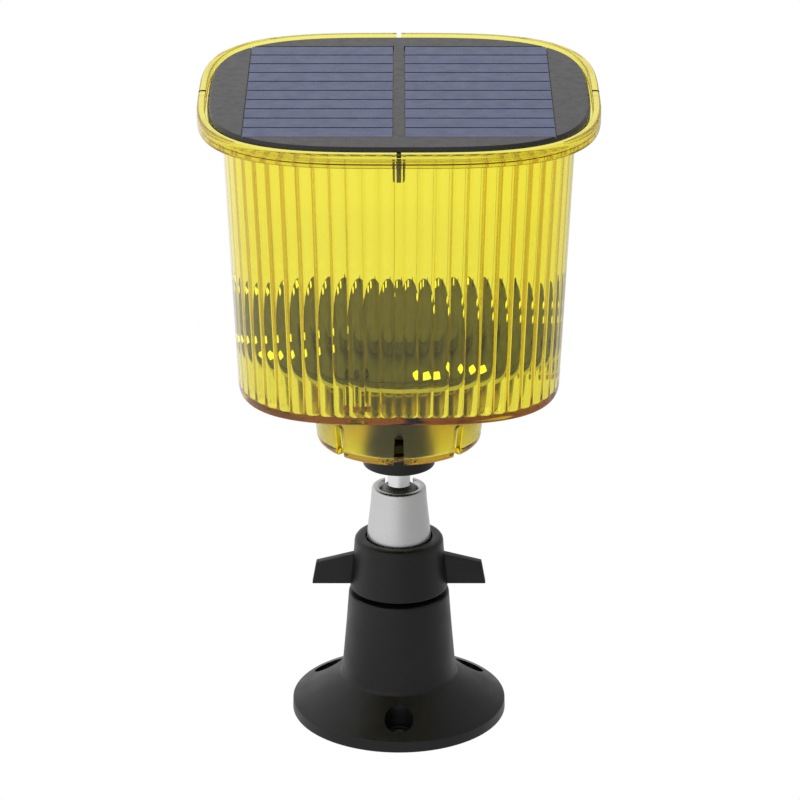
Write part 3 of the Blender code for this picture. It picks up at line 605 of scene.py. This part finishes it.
def make_washer():
    """Rubber washer with soft edges."""
    bottom = low("rubber_washer").z
    top = high("rubber_washer").z
    radius = high("rubber_washer").x
    corners = [(radius, top, 0.6), (radius, bottom, 0.6), (3.475, bottom, 0.2), (3.475, top, 0.2)]
    mesh = turned("soft_washer", corners, 160, True)
    return add_piece(mesh, "washer", ["rubber_washer"], black_rubber)


# ---------------------------------------------------------------- lamp

def make_boss():
    """Clear yellow cup with a floor and eight round-topped slots open at the foot."""
    bottom = low("mount_boss").z
    top = high("mount_boss").z
    head = high("mount_boss").x
    corners = [
        (head, top, 0.2),
        (24.0, 94.0, 30.0),
        (22.85, bottom, 1.0),
        (3.475, bottom, 0.2),
        (3.475, bottom + 1.5, 0.2),
        (21.0, bottom + 1.5, 0.8),
        (22.0, 94.0, 30.0),
        (head - 2.0, top, 0.2),
    ]
    mesh = turned("yellow_mount_cup", corners, 256, True)
    half = 1.2
    crown = 94.1 - half
    arch = [(half * math.cos(a), crown + half * math.sin(a)) for a in np.linspace(0.0, math.pi, 17)]
    outline = arch + [(-half - 0.25, bottom - 1.0), (half + 0.25, bottom - 1.0)]
    tools = []
    for index in range(8):
        slot = slab(outline, 9.0)
        slot.transform(Matrix.Translation((0.0, -24.7 * MM, 0.0)))
        slot.transform(Matrix.Rotation(math.radians(45.0 * index), 4, "Z"))
        tools.append(slot)
    mesh = combine(mesh, tools)
    boss = add_piece(mesh, "lamp", ["mount_boss"], yellow)
    second_material(boss, frosted, lambda at, normal: at.z > bottom + 1.6 and at.x * normal.x + at.y * normal.y < -8.0)
    return boss


def make_hub():
    """Dark ribbed hub."""
    bottom = low("stud_hub").z
    top = high("stud_hub").z
    radius = high("stud_hub").x
    corners = [(radius, top, 0.4), (radius, bottom, 0.3), (3.475, bottom, 0), (3.475, bottom + 9.1, 0)]
    mesh = turned("ribbed_hub", corners, 192, ribs=24, rib_depth=0.18)
    return add_piece(mesh, "lamp", ["stud_hub"], black_plastic)


def lens_taper(height):
    """Half-width of the lamp body's outer wall at a height."""
    bottom = low("lens_housing").z
    share = (height - bottom) / (BODY_TOP - bottom)
    return BODY_FOOT_WIDTH + (BODY_HEAD_WIDTH - BODY_FOOT_WIDTH) * share


def make_lens():
    """Fluted yellow body, flange and rim in one, with rim slots, gasket groove, posts and button hole."""
    bottom = low("lens_housing").z
    top = high("lens_housing").z
    flange = high("lens_housing").x
    floor = bottom + FLOOR_THICKNESS
    across = (np.arange(LENS_COUNT) % FLUTE_STEPS) / FLUTE_STEPS
    bulge = FLUTE_DEPTH * (1.0 - (2.0 * across - 1.0) ** 2)
    narrow = np.arange(LENS_COUNT) // FLUTE_STEPS % (FLUTES_PER_SIDE + 1) == FLUTES_PER_SIDE
    bulge[narrow] *= MIDDLE_FLUTE**2
    outside = fillet([
        (BODY_FOOT_WIDTH - 0.4, bottom, 0),
        (BODY_FOOT_WIDTH, bottom, 1.4),
        (BODY_HEAD_WIDTH, BODY_TOP, 0.5),
        (flange, BODY_TOP, 0.35),
        (flange, top, 0.9),
        (RIM_INNER, top, 0.3),
        (RIM_INNER, RECESS_FLOOR, 0.3),
        (GROOVE[1], RECESS_FLOOR, 0.1),
        (GROOVE[1], GROOVE[2], 0.1),
        (GROOVE[0], GROOVE[2], 0.1),
        (GROOVE[0], RECESS_FLOOR, 0.1),
        (GROOVE[0] - 0.5, RECESS_FLOOR, 0),
    ])
    outside[0] = np.array((BODY_FOOT_WIDTH - 3.0, bottom))
    stops = flute_stops()
    rings = [square_ring(width, height, stops) for width, height in outside]
    for height in (RECESS_FLOOR, RECESS_FLOOR - 0.25):
        shrink = 0.25 * (height == RECESS_FLOOR)
        rings.append(square_ring(lens_taper(height) - WALL_AT_RIDGE + shrink, height, stops, bulge))
    for height in [RECESS_FLOOR - 0.6, floor + 0.8, floor + 0.3]:
        rings.append(square_ring(lens_taper(height) - WALL_AT_RIDGE, height, stops, bulge))
    foot = lens_taper(floor) - WALL_AT_RIDGE
    rings.append(square_ring(foot - 0.05, floor + 0.1, stops, bulge))
    rings.append(square_ring(foot - 0.25, floor, stops, bulge * 0.9))
    mesh = skin("fluted_lamp_body", rings, False)
    slots = []
    for turn in (0.0, 90.0):
        slots.append(box((1.2, 2.0 * flange + 4.0, 6.0), (0.0, 0.0, 186.0), turn))
    slots.append(rod(3.5, bottom - 1.0, floor + 1.0, (0.0, BUTTON_Y), 48))
    mesh = combine(mesh, slots)
    posts = []
    for centre in deck_screw_places():
        profile = [(3.0, low("led_deck").z - 0.3, 0.2), (3.0, floor - 0.5, 0)]
        posts.append(turned("post", profile, 40, centre=centre))
    mesh = combine(mesh, posts, "UNION")
    pilots = [rod(1.4, floor + 1.2, 115.0, centre, 24) for centre in deck_screw_places()]
    mesh = combine(mesh, pilots)
    return add_piece(mesh, "lamp", ["lens_housing"], yellow)


def deck_screw_places():
    """The four deck screws' centres, from their CAD nodes."""
    places = []
    for number in range(1, 5):
        name = "deck_screw_%d" % number
        middle = 0.5 * (low(name) + high(name))
        places.append((middle.x, middle.y))
    return places


def led_places():
    """(centre, turn) of each LED, from its CAD node."""
    places = []
    for number in range(1, 9):
        name = "led_%d" % number
        middle = 0.5 * (low(name) + high(name))
        places.append(((middle.x, middle.y), math.degrees(math.atan2(middle.y, middle.x))))
    return places


def make_deck():
    """Dark disc that swells into a round pod, with LED windows and screw holes."""
    width = high("led_deck").x
    bottom = low("led_deck").z
    top = high("led_deck").z
    plate_top = top - POD_DROP
    corners = [
        (4.0, top, 0),
        (18.7, top, 1.4),
        (19.0, plate_top, 0.8),
        (width, plate_top, 0.5),
        (width, bottom, 0.3),
        (17.8, bottom, 0.2),
        (17.8, top - 1.3, 0.8),
        (4.0, top - 1.3, 0),
    ]
    mesh = turned("deck_with_pod", corners, 256)
    tools = []
    for centre, turn in led_places():
        tools.append(box((5.6, 5.6, 6.0), (*centre, plate_top), turn, 0.3))
    for centre in deck_screw_places():
        tools.append(rod(1.5, bottom - 1.0, plate_top + 1.0, centre, 32))
    tools.append(rod(1.2, bottom - 1.0, plate_top + 1.0, LEAD_HOLE, 32))
    mesh = combine(mesh, tools)
    return add_piece(mesh, "lamp", ["led_deck"], dark_plastic)


def make_tray():
    """Round battery cup with a rolled foot."""
    bottom = low("battery_tray").z
    top = high("battery_tray").z
    radius = high("battery_tray").x
    corners = [
        (4.0, bottom + 1.2, 0),
        (radius - 1.2, bottom + 1.2, 0.5),
        (radius - 1.2, top, 0.2),
        (radius, top, 0.2),
        (radius, bottom, 0.9),
        (4.0, bottom, 0),
    ]
    mesh = turned("battery_cup", corners, 160)
    return add_piece(mesh, "lamp", ["battery_tray"], dark_plastic)


def make_leds():
    """Square LED packages with a round domed face."""
    count = 64
    angle = np.linspace(0.0, 2.0 * math.pi, count + 1)[:-1]
    cosine = np.cos(angle)
    sine = np.sin(angle)
    squareness = 7.0
    square = (abs(cosine) ** squareness + abs(sine) ** squareness) ** (-1.0 / squareness)
    for number, (centre, turn) in enumerate(led_places(), start=1):
        node = "led_%d" % number
        bottom = low(node).z
        top = high(node).z
        face = top - 0.35
        rings = []
        for half, height in ((2.4, bottom), (2.5, bottom + 0.15), (2.5, face - 0.15), (2.35, face)):
            rings.append((half * square, height))
        for radius, height in ((2.25, face), (2.15, face - 0.1), (2.05, face), (1.6, face + 0.2), (0.8, top)):
            rings.append((radius * np.ones(count), height))
        loops = [np.column_stack([r * cosine, r * sine, np.full(count, z)]) for r, z in rings]
        mesh = skin("led_package_%d" % number, loops, False)
        place = Matrix.Translation(Vector((*centre, 0.0)) * MM)
        mesh.transform(place @ Matrix.Rotation(math.radians(turn), 4, "Z"))
        add_piece(mesh, "lamp", [node], led_lit)


def make_panel_board():
    """Panel board with a bevelled edge and a shallow pocket under each column of cells."""
    bottom = low("panel_board").z
    top = high("panel_board").z
    width = high("panel_board").x
    share = high("panel_board").y / width
    corners = [
        (20.0, top, 0),
        (width - 0.8, top, 0.12),
        (width, top - 0.8, 0.2),
        (width, bottom, 0.15),
        (20.0, bottom, 0),
    ]
    mesh = square_body("panel_board_plate", corners, 288, share)
    pockets = []
    for side in ("left", "right"):
        first = "cell_%s_1" % side
        last = "cell_%s_10" % side
        near = low(first)
        far = high(last)
        middle = 0.5 * (near + far)
        size = (far.x - near.x + 0.6, far.y - near.y + 0.75, 2.0)
        pockets.append(box(size, (middle.x, middle.y, top - 0.7 + 1.0)))
    mesh = combine(mesh, pockets)
    return add_piece(mesh, "lamp", ["panel_board"], panel_grey)


def make_button():
    """Soft push button with a dished face."""
    bottom = low("power_button").z
    top = high("power_button").z
    corners = [
        (1.5, top, 0),
        (1.5, top - 1.3, 0),
        (4.5, top - 1.3, 0.15),
        (4.5, top - 1.9, 0.15),
        (3.2, top - 1.9, 0.2),
        (3.2, bottom, 0.6),
        (2.3, bottom, 0.3),
        (1.2, bottom + 0.3, 0.4),
    ]
    mesh = turned("push_button_cap", corners, 96, centre=(0.0, BUTTON_Y))
    return add_piece(mesh, "button", ["power_button"], black_rubber)


def refinish_cad():
    """New materials, and softened edges where they show, on the CAD nodes that stay."""
    finishes = {
        "clamp_pillar": steel, "pillar_screw": steel, "friction_ring": slip_plastic, "battery_cell": cell_wrap,
        "led_board": solder_white, "driver_chip": black_plastic, "button_switch": black_plastic,
        "panel_frame": dark_plastic, "panel_gasket": black_rubber, "panel_lead": lead_jacket,
    }
    for name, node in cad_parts.items():
        if name.startswith("cell_"):
            finish(node, silicon, 0.06)
        elif name.startswith("deck_screw_"):
            finish(node, black_screw, 0.0)
        elif name in finishes:
            finish(node, finishes[name], 0.0)


def finish(node, material, bevel):
    """One material on a CAD node, with a small bevel if asked."""
    for slot in node.material_slots:
        slot.link = "OBJECT"
        slot.material = material
    if bevel:
        modifier = node.modifiers.new("edge", "BEVEL")
        modifier.width = bevel * MM
        modifier.segments = 2


make_base()
make_collar()
make_sleeve()
make_stud()
make_nut()
make_washer()
make_boss()
make_hub()
make_lens()
make_deck()
make_tray()
make_leds()
make_panel_board()
make_button()
refinish_cad()


# ---------------------------------------------------------------- floor and light

FLOOR_SIDE = 12000.0
BRIGHT_SIDE = 0.95
DIM_SIDE = 0.5


def side_gradient(tree, vector_source, reach):
    """Brightness that falls smoothly from the left to the right."""
    split = tree.nodes.new("ShaderNodeSeparateXYZ")
    tree.links.new(vector_source, split.inputs["Vector"])
    fall = tree.nodes.new("ShaderNodeMapRange")
    fall.interpolation_type = "SMOOTHSTEP"
    fall.inputs["From Min"].default_value = -reach
    fall.inputs["From Max"].default_value = reach
    fall.inputs["To Min"].default_value = BRIGHT_SIDE
    fall.inputs["To Max"].default_value = DIM_SIDE
    tree.links.new(split.outputs["X"], fall.inputs["Value"])
    return fall.outputs["Result"]


def seen_directly(tree):
    """1 for what is seen straight or through clear plastic, 0 for reflected and scattered light."""
    path = tree.nodes.new("ShaderNodeLightPath")
    either = tree.nodes.new("ShaderNodeMath")
    either.operation = "MAXIMUM"
    tree.links.new(path.outputs["Is Camera Ray"], either.inputs[0])
    tree.links.new(path.outputs["Is Transmission Ray"], either.inputs[1])
    return either.outputs["Value"]


def brightness(tree, gradient):
    """The studio's brightness: full white where seen directly, the soft side light elsewhere."""
    pick = tree.nodes.new("ShaderNodeMix")
    pick.inputs["B"].default_value = 1.0
    tree.links.new(seen_directly(tree), pick.inputs["Factor"])
    tree.links.new(gradient, pick.inputs["A"])
    return pick.outputs["Result"]


def make_floor():
    """A wide pale floor that glows evenly, like a light table."""
    mesh = box((FLOOR_SIDE, FLOOR_SIDE, 2.0), (0.0, 0.0, -1.05))
    floor = bpy.data.objects.new("floor", mesh)
    scene.collection.objects.link(floor)
    material = bpy.data.materials.new("pale_floor")
    material.use_nodes = True
    tree = material.node_tree
    tree.nodes.clear()
    place = tree.nodes.new("ShaderNodeNewGeometry")
    glow = tree.nodes.new("ShaderNodeEmission")
    output = tree.nodes.new("ShaderNodeOutputMaterial")
    tree.links.new(brightness(tree, side_gradient(tree, place.outputs["Position"], 0.25)), glow.inputs["Strength"])
    tree.links.new(glow.outputs["Emission"], output.inputs["Surface"])
    mesh.materials.append(material)


def make_studio():
    """White surroundings, softer on the right for reflections."""
    world = bpy.data.worlds.new("studio")
    scene.world = world
    world.use_nodes = True
    tree = world.node_tree
    background = tree.nodes["Background"]
    background.inputs["Color"].default_value = (1.0, 1.0, 1.0, 1.0)
    place = tree.nodes.new("ShaderNodeTexCoord")
    tree.links.new(brightness(tree, side_gradient(tree, place.outputs["Generated"], 0.6)), background.inputs["Strength"])
    scene.view_settings.view_transform = "Standard"
    scene.cycles.max_bounces = 48
    scene.cycles.transmission_bounces = 32
    scene.cycles.glossy_bounces = 40


make_floor()
make_studio()
